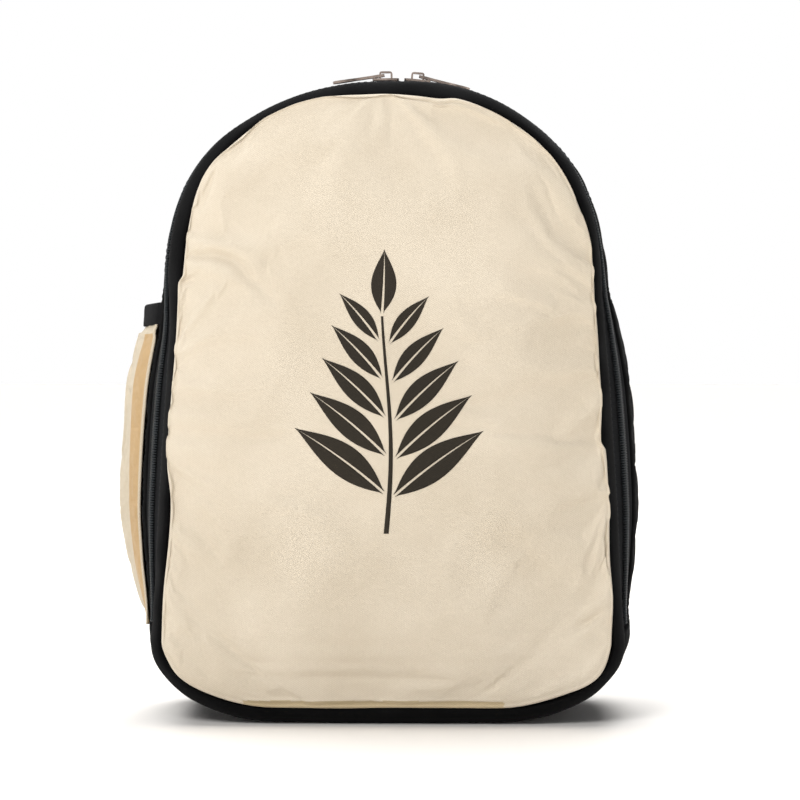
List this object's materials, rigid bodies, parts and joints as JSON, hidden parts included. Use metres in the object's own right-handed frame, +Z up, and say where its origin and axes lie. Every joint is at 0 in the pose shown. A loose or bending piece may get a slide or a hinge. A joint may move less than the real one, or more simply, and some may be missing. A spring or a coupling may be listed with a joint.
{
  "type": "insulated backpack",
  "caption": "Small insulated backpack with an arched padded front panel, a zip round the top and sides, a side pocket and padded shoulder straps.",
  "frame": {"origin": "on the floor, at the middle of the flat underside of the gusset", "axes": "+Z up, the front panel faces -Y, +X is to the right as seen from the front"},
  "size_m": [0.283, 0.1882, 0.3431],
  "materials": {
    "canvas": "fine cream twill",
    "black_cloth": "matt black woven polyester",
    "zip_tape": "black knitted zip tape",
    "webbing": "black grosgrain and webbing",
    "zip_coil": "black nylon coil",
    "nickel": "polished nickel plate",
    "black_plastic": "moulded black acetal"
  },
  "bodies": {
    "bag": {"front_panel": "canvas", "back_panel": "canvas", "side_pocket": "canvas", "front_band": "black_cloth", "gusset": "black_cloth", "zip_tape_front": "zip_tape", "zip_tape_rear": "zip_tape", "zip_coil_left": "zip_coil", "zip_coil_right": "zip_coil", "slider_left": "nickel", "slider_right": "nickel", "pocket_binding": "webbing", "haul_loop": "webbing", "strap_left": "black_cloth", "strap_right": "black_cloth", "strap_keeper_left": "webbing", "strap_keeper_right": "webbing", "webbing_left": "webbing", "webbing_right": "webbing", "ladder_lock_left": "black_plastic", "ladder_lock_right": "black_plastic"},
    "pull_left": {"pull_left": "nickel"},
    "pull_right": {"pull_right": "nickel"}
  },
  "joints": [
    {"name": "pull_left_hinge", "type": "hinge", "parent": "bag", "child": "pull_left", "pos_m": [-0.00257, -0.0265, 0.34087], "axis": [0, 1, 0], "range_deg": [0, 115]},
    {"name": "pull_right_hinge", "type": "hinge", "parent": "bag", "child": "pull_right", "pos_m": [0.0169, -0.0265, 0.34021], "axis": [0, -1, 0], "range_deg": [0, 115]}
  ]
}
